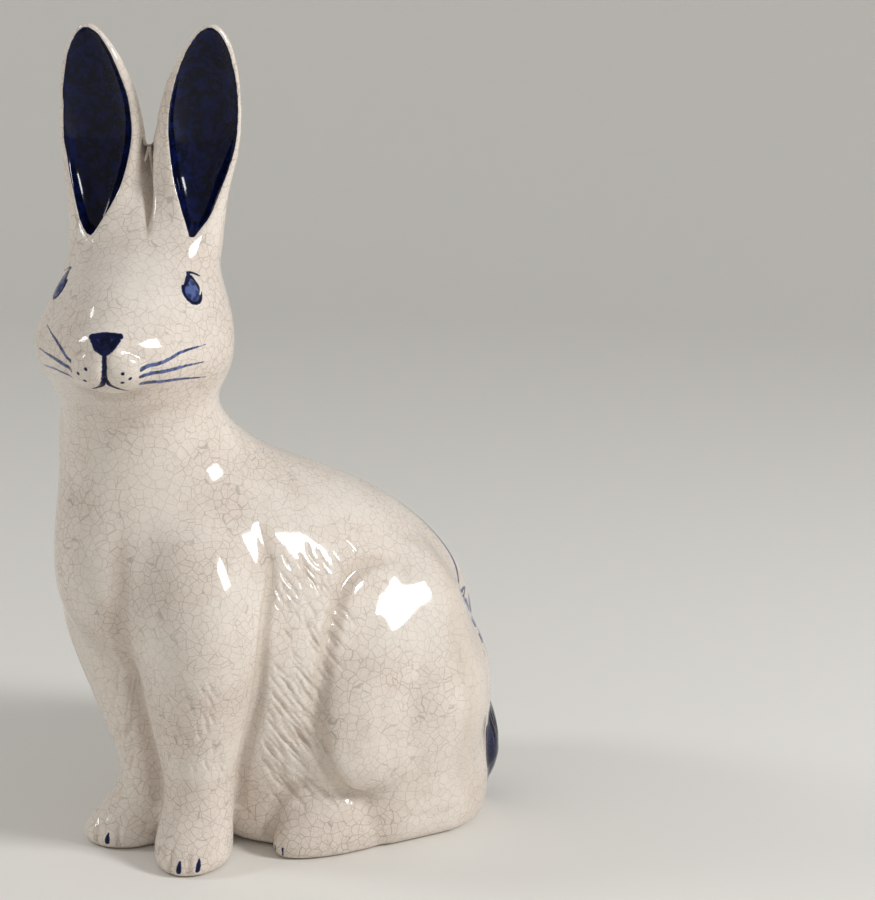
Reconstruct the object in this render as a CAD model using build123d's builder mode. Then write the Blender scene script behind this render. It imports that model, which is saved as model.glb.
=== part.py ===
from build123d import *
import os
from math import cos, radians, sin

# Sitting ceramic rabbit, made of hollow and solid clay castings that are luted together with slip.
# +Z is up. The origin is on the floor, under the middle of the body. -Y is the way the body faces,
# +X is the rabbit's left side. The head is turned towards its left.

# Walls and joints
wall = 7.0  # cast clay, fired
lute_gap = 0.3  # left between two castings for the slip that joins them
parting_side = 10.0  # the body's mould parts this far to the right of the middle
overrun = 20.0  # how far a cutter runs past what it cuts

# Body
body_height = 268.0  # floor to the neck joint
body_width = 172.0
body_length = 254.0
neck_radius = 44.0
neck_ahead_share = 0.4055  # of the body's length
neck_side = 14.0  # the neck stands this far to the right of the middle
spigot_depth = 12.0

# Head
head_height = 112.0
head_width = 110.0
head_length = 131.0
head_turn = 54.0  # degrees, towards the rabbit's left
head_lean = 5.0
crown_width = 16.0
muzzle_bottom = 16.0  # above the neck joint
muzzle_height = 38.0
muzzle_width = 50.0
muzzle_length = 38.0
muzzle_ahead = 67.0

# Ears
ear_root_height = 350.0
ear_length = 130.5
ear_width = 51.4
ear_thickness = 44.0
ear_turn = 50.0
ear_spread = 35.3  # tip to the middle between the ears
ear_sway = 12.5
ear_opening_width = 40.0
ear_opening_depth = 24.0
opening_base = 9.0  # from the root of the ear up to the point of its opening
opening_length = 118.0

# Forelegs
leg_height = 214.0
leg_joint_height = 120.0
leg_width = 76.0
leg_depth = 78.0
left_leg_lean = 10.0
right_leg_lean = 18.0
left_paw_reach = 11.0
right_paw_reach = 16.0
left_ankle_side = 22.0
left_ankle_ahead_share = 0.331  # of the body's length
left_paw_turn = 45.0
right_ankle_side = 16.0
right_ankle_ahead_share = 0.374
right_paw_turn = -12.0

# Haunches and hind feet
haunch_height = 144.0
haunch_lift = 36.0
haunch_width = 76.0
haunch_length = 118.0
haunch_side_share = 0.279  # of the body's width
haunch_turn = 10.0  # degrees, the knee stands out further than the rump
haunch_behind_share = 0.087  # of the body's length
hind_foot_height = 44.0
hind_foot_width = 40.0
hind_foot_length = 92.0
hind_foot_side_share = 0.314  # of the body's width
hind_foot_ahead_share = 0.012  # of the body's length

# Rump, which joins the haunches behind and widens the foot of the body
rump_height = 182.0

# Tail
tail_height = 74.0
tail_lift = 2.0
tail_width = 62.0
tail_depth = 54.0
tail_side = 20.0
tail_behind_share = 0.372  # of the body's length

# Floor of the body
plate_thickness = 8.0
plate_rim = 10.0  # from the outside of the body to the plate
plate_seat = 6.0
vent_radius = 12.0

# Height, shift to the left, shift ahead, width and length, up the body
torso_shares = [
    (0.00, -0.02, -0.085, 0.66, 0.60),
    (0.02, -0.02, -0.085, 0.75, 0.67),
    (0.10, -0.03, -0.08, 0.80, 0.72),
    (0.25, -0.03, -0.055, 0.84, 0.80),
    (0.42, -0.025, 0.015, 0.87, 0.92),
    (0.54, -0.03, 0.088, 0.87, 1.01),
    (0.65, -0.06, 0.14, 0.83, 0.95),
    (0.75, -0.095, 0.20, 0.76, 0.80),
    (0.82, -0.115, 0.27, 0.645, 0.63),
    (0.89, -0.12, 0.345, 0.555, 0.475),
    (0.955, -0.10, 0.385, 0.52, 0.395),
]
# Height, shift ahead, lean to the left, width and length, up the head from the neck joint
head_shares = [
    (0.107, 0.075, 0.10, 0.90, 0.82),
    (0.205, 0.125, 0.10, 0.99, 0.92),
    (0.34, 0.16, 0.20, 1.02, 1.00),
    (0.464, 0.135, 0.40, 0.96, 0.965),
    (0.59, 0.095, 0.60, 0.86, 0.88),
    (0.70, 0.04, 0.75, 0.77, 0.76),
    (0.80, -0.025, 0.90, 0.71, 0.60),
    (0.893, -0.065, 1.00, 0.65, 0.435),
    (0.964, -0.07, 1.05, 0.51, 0.27),
]
# Half outline of a level cut through the head: shares of half its width and half its length
egg_shares = [
    (0.62, -0.84),
    (0.97, -0.40),
    (0.97, 0.05),
    (0.74, 0.46),
    (0.40, 0.83),
]
# Height, shift ahead, width and length, up the muzzle
muzzle_shares = [
    (0.00, 0.86, 0.50, 0.48),
    (0.20, 0.925, 0.88, 0.82),
    (0.45, 0.985, 1.00, 1.00),
    (0.72, 1.015, 0.94, 0.94),
    (1.00, 1.01, 0.60, 0.68),
]
# Height, shift ahead, sway to the left, spread, width and thickness, up an ear
ear_shares = [
    (0.00, -0.03, 0.32, 0.51, 0.62, 1.00),
    (0.17, -0.06, 0.40, 0.655, 0.875, 0.95),
    (0.34, -0.06, 0.48, 0.70, 0.94, 0.73),
    (0.50, -0.048, 0.62, 0.77, 0.96, 0.60),
    (0.67, -0.015, 0.76, 0.83, 0.89, 0.49),
    (0.83, 0.038, 0.91, 0.91, 0.69, 0.37),
    (0.93, 0.064, 1.00, 0.965, 0.44, 0.27),
    (1.00, 0.083, 1.06, 1.00, 0.10, 0.10),
]
# The middle of the hollow lies this share of the way to the front of an ear
opening_ahead_share = 0.65
# Height, shift outwards, shift to the left, width and depth, up the hollow of an ear
opening_shares = [
    (0.00, 0.14, 0.08, 0.06, 0.20),
    (0.12, 0.13, 0.06, 0.42, 0.66),
    (0.31, 0.10, 0.05, 0.78, 0.90),
    (0.51, 0.07, 0.04, 1.00, 0.90),
    (0.69, 0.05, 0.03, 0.94, 0.74),
    (0.86, 0.02, 0.01, 0.66, 0.48),
    (0.96, 0.00, 0.00, 0.36, 0.30),
    (1.00, 0.00, 0.00, 0.08, 0.12),
]
# Height, reach of the paw, lean outwards, width and depth, up a foreleg
leg_shares = [
    (0.00, 1.00, 0.00, 0.50, 0.62),
    (0.03, 1.00, 0.00, 0.59, 0.72),
    (0.08, 0.73, 0.00, 0.59, 0.65),
    (0.16, 0.10, 0.00, 0.56, 0.56),
    (0.235, 0.00, 0.00, 0.58, 0.59),
    (0.33, 0.05, 0.10, 0.68, 0.72),
    (0.445, 0.20, 0.40, 0.82, 0.85),
    (0.56, 0.40, 0.75, 0.94, 0.96),
    (0.69, 0.55, 1.00, 1.00, 1.00),
    (0.80, 0.40, 0.85, 0.93, 0.97),
    (0.915, 0.15, 0.20, 0.76, 0.90),
    (1.00, 0.00, -0.67, 0.55, 0.56),
]
# Height, shift to the middle, shift back, width and length, up a haunch
haunch_shares = [
    (0.00, 0.10, 0.00, 0.70, 0.62),
    (0.07, 0.00, 0.00, 0.92, 0.83),
    (0.18, 0.00, 0.00, 1.00, 0.96),
    (0.36, 0.00, 0.00, 1.02, 1.00),
    (0.53, 0.01, 0.00, 1.00, 0.98),
    (0.70, 0.07, 0.02, 0.94, 0.88),
    (0.84, 0.18, 0.05, 0.84, 0.70),
    (0.95, 0.32, 0.07, 0.62, 0.45),
    (1.00, 0.40, 0.07, 0.34, 0.20),
]
# Height, shift back, width and length, up a hind foot
hind_foot_shares = [
    (0.00, 0.00, 0.84, 0.92),
    (0.20, 0.00, 1.00, 1.00),
    (0.52, 0.05, 0.94, 0.92),
    (0.80, 0.13, 0.76, 0.74),
    (1.00, 0.20, 0.42, 0.42),
]
# Height, shift to the left, shift back, width, length and corner radius, up the rump: widths and
# radii are shares of the body's width, the rest lengthwise of the body's length
rump_shares = [
    (0.00, -0.02, 0.165, 0.80, 0.46, 0.26),
    (0.03, -0.022, 0.168, 0.865, 0.505, 0.29),
    (0.15, -0.035, 0.172, 0.945, 0.54, 0.34),
    (0.37, -0.024, 0.186, 1.015, 0.53, 0.36),
    (0.60, -0.026, 0.195, 1.01, 0.46, 0.33),
    (0.80, -0.03, 0.18, 0.86, 0.31, 0.22),
    (1.00, -0.03, 0.16, 0.50, 0.14, 0.09),
]
# Height, shift ahead, width and depth, up the tail
tail_shares = [
    (0.00, 0.10, 0.32, 0.36),
    (0.09, 0.07, 0.68, 0.70),
    (0.26, 0.03, 0.94, 0.93),
    (0.46, 0.00, 1.00, 1.00),
    (0.68, 0.00, 0.92, 0.96),
    (0.87, 0.00, 0.68, 0.80),
    (0.98, 0.02, 0.34, 0.48),
]


def oval(x, y, z, half_width, half_depth, turn):
    """One level oval, turned about its own middle"""
    with BuildSketch(Plane.XY.offset(z)) as level:
        with Locations((x, y)):
            Ellipse(half_width, half_depth, rotation=turn)
    return level.sketch.face()


def egg(x, y, z, half_width, half_length, turn):
    """One level cut through the head, wide at the cheeks and narrow at the nose"""
    right = [(side * half_width, ahead * half_length) for side, ahead in egg_shares]
    left = [(-side * half_width, ahead * half_length) for side, ahead in reversed(egg_shares)]
    with BuildSketch(Plane((x, y, z), x_dir=(-cos(radians(turn)), -sin(radians(turn)), 0))) as level:
        with BuildLine():
            Spline([(0, -half_length)] + right + [(0, half_length)] + left, periodic=True)
        make_face()
    return level.sketch.face()


def turned(side, ahead, turn):
    """How far right and back a shift lies that is given in a turned frame"""
    c, s = cos(radians(turn)), sin(radians(turn))
    return side * c + ahead * s, side * s - ahead * c


# Places that follow the body
neck_ahead = neck_ahead_share * body_length
left_ankle_ahead = left_ankle_ahead_share * body_length
right_ankle_ahead = right_ankle_ahead_share * body_length
haunch_side = haunch_side_share * body_width
haunch_behind = haunch_behind_share * body_length
hind_foot_side = hind_foot_side_share * body_width
hind_foot_ahead = hind_foot_ahead_share * body_length
tail_behind = tail_behind_share * body_length


def torso_ovals(inset=0.0):
    """The body without legs, from the floor to the neck joint"""
    ovals = []
    for height, side, ahead, width, length in torso_shares:
        ovals.append(
            oval(
                side * body_width,
                -ahead * body_length,
                height * body_height,
                width * body_width / 2 - inset,
                length * body_length / 2 - inset,
                0,
            )
        )
    ovals.append(
        oval(-neck_side, -neck_ahead, body_height, neck_radius - inset, neck_radius - inset, 0)
    )
    return ovals


def head_cuts(inset=0.0):
    """The head, from just above the neck joint to the crown"""
    cuts = []
    for height, ahead, lean, width, length in head_shares:
        x, y = turned(lean * head_lean, ahead * head_length, head_turn)
        cuts.append(
            egg(
                -neck_side + x,
                -neck_ahead + y,
                body_height + height * head_height,
                width * head_width / 2 - inset,
                length * head_length / 2 - inset,
                head_turn,
            )
        )
    return cuts


def neck_cut(radius):
    """The round cut at the neck, whose edge starts at the back of the head as the cuts above do"""
    back = (-sin(radians(head_turn)), cos(radians(head_turn)), 0)
    with BuildSketch(Plane((-neck_side, -neck_ahead, body_height), x_dir=back)) as level:
        Circle(radius)
    return level.sketch.face()


def crown_cut():
    x, y = turned(head_lean, head_shares[-1][1] * head_length, head_turn)
    z = body_height + head_height
    return egg(-neck_side + x, -neck_ahead + y, z, crown_width / 2, crown_width / 3, head_turn)


def muzzle_ovals():
    ovals = []
    for height, ahead, width, length in muzzle_shares:
        x, y = turned(0, ahead * muzzle_ahead, head_turn)
        ovals.append(
            oval(
                -neck_side + x,
                -neck_ahead + y,
                body_height + muzzle_bottom + height * muzzle_height,
                width * muzzle_width / 2,
                length * muzzle_length / 2,
                head_turn,
            )
        )
    return ovals


def ear_middle(height_share, hand):
    """The middle of an ear at a share of its height; hand is 1 on the left and -1 on the right"""
    below = [row for row in ear_shares if row[0] <= height_share][-1]
    above = [row for row in ear_shares if row[0] >= height_share][0]
    span = above[0] - below[0]
    t = (height_share - below[0]) / span if span else 0.0
    ahead, sway, spread, thickness = [
        below[i] + t * (above[i] - below[i]) for i in (1, 2, 3, 5)
    ]
    x, y = turned(
        sway * ear_sway + hand * spread * ear_spread, ahead * ear_length, ear_turn
    )
    return -neck_side + x, -neck_ahead + y, thickness * ear_thickness / 2


def ear_ovals(hand, grow=0.0):
    ovals = []
    for height, ahead, sway, spread, width, thickness in ear_shares:
        x, y, _ = ear_middle(height, hand)
        ovals.append(
            oval(
                x,
                y,
                ear_root_height + height * ear_length,
                width * ear_width / 2 + grow,
                thickness * ear_thickness / 2 + grow,
                ear_turn,
            )
        )
    return ovals


def opening_ovals(hand):
    """The hollow in the front of an ear"""
    ovals = []
    for height, out, left, width, depth in opening_shares:
        z = opening_base + height * opening_length
        x, y, half_thickness = ear_middle(z / ear_length, hand)
        side = (hand * out + left) * ear_opening_width
        dx, dy = turned(side, opening_ahead_share * half_thickness, ear_turn)
        ovals.append(
            oval(
                x + dx,
                y + dy,
                ear_root_height + z,
                width * ear_opening_width / 2,
                depth * ear_opening_depth / 2,
                ear_turn,
            )
        )
    return ovals


def leg_ovals(hand, grow=0.0):
    """A whole foreleg, from the paw to the shoulder"""
    if hand > 0:
        side, ahead, turn = left_ankle_side, left_ankle_ahead, left_paw_turn
        leg_lean, paw_reach = left_leg_lean, left_paw_reach
    else:
        side, ahead, turn = right_ankle_side, right_ankle_ahead, right_paw_turn
        leg_lean, paw_reach = right_leg_lean, right_paw_reach
    ovals = []
    for height, reach, lean, width, depth in leg_shares:
        x, y = turned(0, reach * paw_reach, turn)
        ovals.append(
            oval(
                hand * (side + lean * leg_lean) + x,
                -ahead + y,
                height * leg_height,
                width * leg_width / 2 + grow,
                depth * leg_depth / 2 + grow,
                turn,
            )
        )
    return ovals


def rump_cuts():
    """The rump, in level cuts with round corners"""
    cuts = []
    for height, side, back, width, length, corner in rump_shares:
        with BuildSketch(Plane.XY.offset(height * rump_height)) as level:
            with Locations((side * body_width, back * body_length)):
                RectangleRounded(width * body_width, length * body_length, corner * body_width)
        cuts.append(level.sketch.face())
    return cuts


def haunch_ovals(hand):
    ovals = []
    for height, inwards, back, width, length in haunch_shares:
        ovals.append(
            oval(
                hand * (haunch_side - inwards * haunch_width) + torso_shares[3][1] * body_width,
                haunch_behind + back * haunch_length,
                haunch_lift + height * haunch_height,
                width * haunch_width / 2,
                length * haunch_length / 2,
                hand * haunch_turn,
            )
        )
    return ovals


def hind_foot_ovals(hand):
    ovals = []
    for height, back, width, length in hind_foot_shares:
        ovals.append(
            oval(
                hand * hind_foot_side + torso_shares[3][1] * body_width,
                -hind_foot_ahead + back * hind_foot_length,
                height * hind_foot_height,
                width * hind_foot_width / 2,
                length * hind_foot_length / 2,
                0,
            )
        )
    return ovals


def tail_ovals():
    ovals = []
    for height, ahead, width, depth in tail_shares:
        ovals.append(
            oval(
                tail_side,
                tail_behind - ahead * tail_depth,
                tail_lift + height * tail_height,
                width * tail_width / 2,
                depth * tail_depth / 2,
                0,
            )
        )
    return ovals


# The outside of the body casting: torso, haunches and shoulders
with BuildPart() as torso_form:
    loft(torso_ovals())

with BuildPart() as left_leg_form:
    loft(leg_ovals(1))

with BuildPart() as right_leg_form:
    loft(leg_ovals(-1))
    # Room for the left leg beside it
    loft(leg_ovals(1, lute_gap), mode=Mode.SUBTRACT)

with BuildPart() as rump_form:
    loft(rump_cuts())

with BuildPart() as head_form:
    loft([neck_cut(neck_radius)] + head_cuts() + [crown_cut()])
    loft(muzzle_ovals())

# Middle and half sizes of the plate that closes the body's floor
plate_middle = (torso_shares[0][1] * body_width, -torso_shares[0][2] * body_length)
plate_half_width = torso_shares[0][3] * body_width / 2 - plate_rim
plate_half_length = torso_shares[0][4] * body_length / 2 - plate_rim

with BuildPart() as base_plate:
    with BuildSketch(Plane.XY):
        with Locations(plate_middle):
            Ellipse(plate_half_width - lute_gap, plate_half_length - lute_gap)
            Circle(vent_radius, mode=Mode.SUBTRACT)
    extrude(amount=plate_thickness)

with BuildPart() as body_casting:
    add(torso_form.part)
    add(rump_form.part)
    for hand in (1, -1):
        loft(haunch_ovals(hand))
    for form in (left_leg_form, right_leg_form):
        add(split(form.part, Plane.XY.offset(leg_joint_height), keep=Keep.TOP, mode=Mode.PRIVATE))
    # The hollow, with a ledge at the bottom for the plate and a round bore for the head's spigot
    loft(
        [
            oval(*plate_middle, plate_thickness, plate_half_width - plate_seat, plate_half_length - plate_seat, 0)
        ]
        + torso_ovals(wall)[2:],
        ruled=True,
        mode=Mode.SUBTRACT,
    )
    with BuildSketch(Plane.XY.offset(plate_thickness)):
        with Locations(plate_middle):
            Ellipse(plate_half_width, plate_half_length)
    extrude(amount=-(plate_thickness + overrun), mode=Mode.SUBTRACT)
    with BuildSketch(Plane.XY.offset(body_height)):
        with Locations((-neck_side, -neck_ahead)):
            Circle(neck_radius - wall)
    extrude(amount=-(spigot_depth + lute_gap), mode=Mode.SUBTRACT)

with BuildPart() as head_casting:
    add(head_form.part)
    with BuildSketch(Plane.XY.offset(body_height)):
        with Locations((-neck_side, -neck_ahead)):
            Circle(neck_radius - wall - lute_gap)
    extrude(amount=-spigot_depth)
    loft([neck_cut(neck_radius - 2 * wall)] + head_cuts(wall)[1:-1], ruled=True, mode=Mode.SUBTRACT)
    with BuildSketch(Plane.XY.offset(body_height)):
        with Locations((-neck_side, -neck_ahead)):
            Circle(neck_radius - 2 * wall)
    extrude(amount=-(spigot_depth + overrun), mode=Mode.SUBTRACT)
    for hand in (1, -1):
        loft(ear_ovals(hand, lute_gap), mode=Mode.SUBTRACT)
        loft(opening_ovals(hand), mode=Mode.SUBTRACT)

# The hollow castings come out of two-part moulds, so each is a left and a right half
body_parting = Plane.YZ.offset(-parting_side)
head_parting = Plane(
    (-neck_side, -neck_ahead, 0), z_dir=(cos(radians(head_turn)), sin(radians(head_turn)), 0)
)

with BuildPart() as body_left_half:
    add(split(body_casting.part, body_parting, keep=Keep.TOP, mode=Mode.PRIVATE))

with BuildPart() as body_right_half:
    add(split(body_casting.part, body_parting, keep=Keep.BOTTOM, mode=Mode.PRIVATE))

with BuildPart() as head_left_half:
    add(split(head_casting.part, head_parting, keep=Keep.TOP, mode=Mode.PRIVATE))

with BuildPart() as head_right_half:
    add(split(head_casting.part, head_parting, keep=Keep.BOTTOM, mode=Mode.PRIVATE))

with BuildPart() as left_ear:
    loft(ear_ovals(1))
    loft(opening_ovals(1), mode=Mode.SUBTRACT)

with BuildPart() as right_ear:
    loft(ear_ovals(-1))
    loft(ear_ovals(1, lute_gap), mode=Mode.SUBTRACT)
    loft(opening_ovals(-1), mode=Mode.SUBTRACT)

with BuildPart() as left_foreleg:
    add(split(left_leg_form.part, Plane.XY.offset(leg_joint_height), keep=Keep.BOTTOM, mode=Mode.PRIVATE))
    add(torso_form.part, mode=Mode.SUBTRACT)

with BuildPart() as right_foreleg:
    add(split(right_leg_form.part, Plane.XY.offset(leg_joint_height), keep=Keep.BOTTOM, mode=Mode.PRIVATE))
    add(torso_form.part, mode=Mode.SUBTRACT)

with BuildPart() as left_hind_foot:
    loft(hind_foot_ovals(1))
    add(torso_form.part, mode=Mode.SUBTRACT)
    add(rump_form.part, mode=Mode.SUBTRACT)
    loft(haunch_ovals(1), mode=Mode.SUBTRACT)

with BuildPart() as right_hind_foot:
    loft(hind_foot_ovals(-1))
    add(torso_form.part, mode=Mode.SUBTRACT)
    add(rump_form.part, mode=Mode.SUBTRACT)
    loft(haunch_ovals(-1), mode=Mode.SUBTRACT)

with BuildPart() as tail:
    loft(tail_ovals())
    add(torso_form.part, mode=Mode.SUBTRACT)
    add(rump_form.part, mode=Mode.SUBTRACT)
    loft(haunch_ovals(1), mode=Mode.SUBTRACT)

os.makedirs("parts", exist_ok=True)
body_left_half.part.label = "body_left_half"
export_step(body_left_half.part, "parts/body_left_half.step")
body_right_half.part.label = "body_right_half"
export_step(body_right_half.part, "parts/body_right_half.step")
base_plate.part.label = "base_plate"
export_step(base_plate.part, "parts/base_plate.step")
head_left_half.part.label = "head_left_half"
export_step(head_left_half.part, "parts/head_left_half.step")
head_right_half.part.label = "head_right_half"
export_step(head_right_half.part, "parts/head_right_half.step")
left_ear.part.label = "left_ear"
export_step(left_ear.part, "parts/left_ear.step")
right_ear.part.label = "right_ear"
export_step(right_ear.part, "parts/right_ear.step")
left_foreleg.part.label = "left_foreleg"
export_step(left_foreleg.part, "parts/left_foreleg.step")
right_foreleg.part.label = "right_foreleg"
export_step(right_foreleg.part, "parts/right_foreleg.step")
left_hind_foot.part.label = "left_hind_foot"
export_step(left_hind_foot.part, "parts/left_hind_foot.step")
right_hind_foot.part.label = "right_hind_foot"
export_step(right_hind_foot.part, "parts/right_hind_foot.step")
tail.part.label = "tail"
export_step(tail.part, "parts/tail.step")
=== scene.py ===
import math

import bpy
import numpy as np
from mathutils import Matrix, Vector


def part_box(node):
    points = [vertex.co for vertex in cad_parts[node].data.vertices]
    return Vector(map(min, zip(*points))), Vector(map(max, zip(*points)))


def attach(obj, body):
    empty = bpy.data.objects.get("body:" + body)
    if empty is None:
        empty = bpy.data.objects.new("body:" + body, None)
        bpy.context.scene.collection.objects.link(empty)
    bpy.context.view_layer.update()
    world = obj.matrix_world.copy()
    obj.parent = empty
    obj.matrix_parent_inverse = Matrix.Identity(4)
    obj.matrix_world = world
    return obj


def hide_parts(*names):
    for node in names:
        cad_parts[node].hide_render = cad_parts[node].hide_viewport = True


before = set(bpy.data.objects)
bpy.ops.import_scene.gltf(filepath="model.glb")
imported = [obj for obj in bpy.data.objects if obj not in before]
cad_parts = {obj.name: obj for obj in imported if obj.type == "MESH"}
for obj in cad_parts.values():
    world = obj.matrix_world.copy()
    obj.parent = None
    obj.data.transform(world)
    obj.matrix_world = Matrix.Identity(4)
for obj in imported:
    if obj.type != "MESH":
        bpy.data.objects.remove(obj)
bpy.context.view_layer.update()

import openvdb as vdb
from mathutils import Vector

# A glazed rabbit. The clay castings of the frame are luted together and glazed over as one, so their
# solids are turned into distance fields, joined, softened where slip and glaze fill the corners, and
# skinned again as one surface, which is then cut back into the castings. Lengths are in millimetres
# until a mesh is made. Azimuth 0 looks at the rabbit's chest, 90 at its left side.
MM = 0.001
scene = bpy.context.scene
chance = np.random.default_rng(11)

VOXEL = 1.5
PAD = 12.0
REACH = 8  # voxels over which the joined field is a true distance
NEAR = 4  # and the field of a casting that nothing is rounded against
NODES = sorted(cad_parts)
PLATE = "base_plate"
CASTINGS = [name for name in NODES if name != PLATE]


def node_arrays(name):
    """Corners and triangles of a casting"""
    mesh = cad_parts[name].data
    mesh.calc_loop_triangles()
    corners = np.empty(len(mesh.vertices) * 3, np.float32)
    mesh.vertices.foreach_get("co", corners)
    triangles = np.empty(len(mesh.loop_triangles) * 3, np.int32)
    mesh.loop_triangles.foreach_get("vertices", triangles)
    return corners.reshape(-1, 3) / MM, triangles.reshape(-1, 3)


BOXES = {name: np.array(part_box(name)) / MM for name in NODES}
LOW = np.floor((np.min([box[0] for box in BOXES.values()], 0) - PAD) / VOXEL).astype(int)
HIGH = np.ceil((np.max([box[1] for box in BOXES.values()], 0) + PAD) / VOXEL).astype(int)
SHAPE = tuple(HIGH - LOW)
AXES = [(np.arange(count) + low) * VOXEL for count, low in zip(SHAPE, LOW)]
X, Y, Z = np.meshgrid(*AXES, indexing="ij", sparse=True)


def field_of(corners, faces, reach=NEAR):
    """Signed distance to a closed mesh, true within reach voxels of it"""
    sides = {"quads": faces} if faces.shape[1] == 4 else {"triangles": faces}
    grid = vdb.FloatGrid.createLevelSetFromPolygons(
        corners, transform=vdb.createLinearTransform(VOXEL), halfWidth=reach, **sides
    )
    field = np.full(SHAPE, reach * VOXEL, np.float32)
    grid.copyToArray(field, ijk=tuple(int(v) for v in LOW))
    return field


def surface_of(field):
    """Corners and quads of the surface where a field is zero"""
    grid = vdb.FloatGrid(VOXEL * REACH)
    grid.transform = vdb.createLinearTransform(VOXEL)
    grid.copyFromArray(np.ascontiguousarray(field, np.float32), ijk=tuple(int(v) for v in LOW))
    corners, quads = grid.convertToQuads(isovalue=0.0)
    return corners.astype(np.float64), quads.astype(np.int32)


def swept(open_space):
    """Voxels that can be reached from outside through open space"""
    reached = np.zeros(SHAPE, bool)
    for axis in range(3):
        for end in (0, -1):
            edge = [slice(None)] * 3
            edge[axis] = end
            reached[tuple(edge)] = True
    count = 0
    while True:
        for axis in range(3):
            lines, clear = np.moveaxis(reached, axis, 0), np.moveaxis(open_space, axis, 0)
            for i in range(1, len(lines)):
                lines[i] |= lines[i - 1] & clear[i]
            for i in range(len(lines) - 2, -1, -1):
                lines[i] |= lines[i + 1] & clear[i]
        if int(reached.sum()) == count:
            return reached
        count = int(reached.sum())


def grown(mask):
    """A mask with one more voxel on every side"""
    out = mask.copy()
    for axis in range(3):
        lines = np.moveaxis(out, axis, 0)
        before = lines.copy()
        lines[1:] |= before[:-1]
        lines[:-1] |= before[1:]
    return out


def softened(field, sigma):
    """A field blurred over sigma millimetres"""
    spread = sigma / VOXEL
    n = int(math.ceil(3 * spread))
    shares = np.exp(-0.5 * (np.arange(-n, n + 1) / spread) ** 2)
    shares = (shares / shares.sum()).astype(np.float32)
    for axis in range(3):
        lines = np.moveaxis(field, axis, 0)
        padded = np.concatenate([lines[:1]] * n + [lines] + [lines[-1:]] * n)
        out = np.zeros_like(lines)
        for i, share in enumerate(shares):
            out += share * padded[i : i + len(lines)]
        field = np.moveaxis(out, 0, axis)
    return np.ascontiguousarray(field)


def joined(a, b, radius):
    """Two fields together, with a fillet where they meet"""
    h = np.maximum(radius - np.abs(a - b), 0) / radius
    return np.minimum(a, b) - h * h * radius / 4


def sample(field, points):
    """Value of a field at points, which may be a vector"""
    q = np.clip(points / VOXEL - LOW, 0, np.array(SHAPE) - 1.01)
    i = np.clip(np.floor(q).astype(int), 0, np.array(SHAPE) - 2)
    t = (q - i).astype(np.float32)
    out = 0
    for dx in (0, 1):
        for dy in (0, 1):
            for dz in (0, 1):
                share = (
                    (t[:, 0] if dx else 1 - t[:, 0])
                    * (t[:, 1] if dy else 1 - t[:, 1])
                    * (t[:, 2] if dz else 1 - t[:, 2])
                )
                value = field[i[:, 0] + dx, i[:, 1] + dy, i[:, 2] + dz]
                out = out + (share[:, None] * value if value.ndim == 2 else share * value)
    return out


def eased(rows, steps):
    """Rows of numbers with a smooth curve through them"""
    rows = np.array(rows, float)
    ends = np.concatenate([2 * rows[:1] - rows[1:2], rows, 2 * rows[-1:] - rows[-2:-1]])
    out = []
    for i in range(len(rows) - 1):
        a, b, c, d = ends[i : i + 4]
        for t in np.arange(steps) / steps:
            square = (2 * a - 5 * b + 4 * c - d) * t * t
            cube = (3 * b - a - 3 * c + d) * t**3
            out.append(0.5 * (2 * b + (c - a) * t + square + cube))
    return np.array(out + [rows[-1]])


def facing(azimuth):
    """The level direction towards a viewer at an azimuth, and the one to the viewer's right"""
    a = math.radians(azimuth)
    return np.array([math.sin(a), -math.cos(a), 0]), np.array([math.cos(a), math.sin(a), 0])


# The ears and their scoops. Up an ear: share of its height, middle ahead of and left of the neck,
# spread of the two ears, half thickness and half width
NECK = np.array([-14.0, -103.0, 0.0])
EAR_AZIMUTH = 50.0
EAR_ROOT, EAR_TIP = BOXES["left_ear"][:, 2]
EAR_HEIGHT = EAR_TIP - EAR_ROOT
EAR_LINE = [
    (0.00, -3.9, 4.0, 18.0, 22.0, 15.9),
    (0.17, -7.8, 5.0, 23.1, 20.9, 22.5),
    (0.34, -7.8, 6.0, 24.7, 16.1, 24.2),
    (0.50, -6.3, 7.8, 27.2, 13.2, 24.7),
    (0.67, -2.0, 9.5, 29.3, 10.8, 22.9),
    (0.83, 5.0, 11.4, 32.1, 8.1, 17.7),
    (0.93, 8.4, 12.5, 34.1, 5.9, 11.3),
    (1.00, 10.8, 13.3, 35.3, 2.2, 2.6),
]
# Up a scoop: height above the ear's root, shift outwards, left and ahead, half width and half depth
SCOOP = [
    (9.0, 5.6, 3.2, 7.0, 1.2, 2.4),
    (23.2, 5.2, 2.4, 2.0, 8.4, 7.9),
    (45.6, 4.0, 2.0, 0.0, 15.6, 10.8),
    (69.2, 2.8, 1.6, 0.0, 20.0, 10.8),
    (90.4, 2.0, 1.2, 0.0, 18.8, 8.9),
    (110.5, 0.8, 0.4, 0.0, 13.2, 5.8),
    (122.3, 0.0, 0.0, 0.0, 7.2, 3.6),
    (127.0, 0.0, 0.0, 0.0, 1.6, 1.4),
]
SCOOP_AHEAD_SHARE = 0.65  # of the ear's half thickness
LEFT_RISE, LEFT_OUT = 6, 2.5  # how far the left scoop starts higher and further out
LEFT_SCOOP = [
    (up + LEFT_RISE * (1 - up / EAR_HEIGHT), out + LEFT_OUT * (1 - up / EAR_HEIGHT), *others)
    for up, out, *others in SCOOP
]
FILLING_INSET = 1  # from the casting's own surface
EAR_FILLING = [
    (share * EAR_HEIGHT, 0, 0, 0, half_width - FILLING_INSET, thick - FILLING_INSET)
    for share, _, _, _, thick, half_width in EAR_LINE
]
RING = 36  # corners round a ring
RINGS_A_ROW = 6
THINNEST = 0.3  # half size of the ring that closes an end


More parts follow.
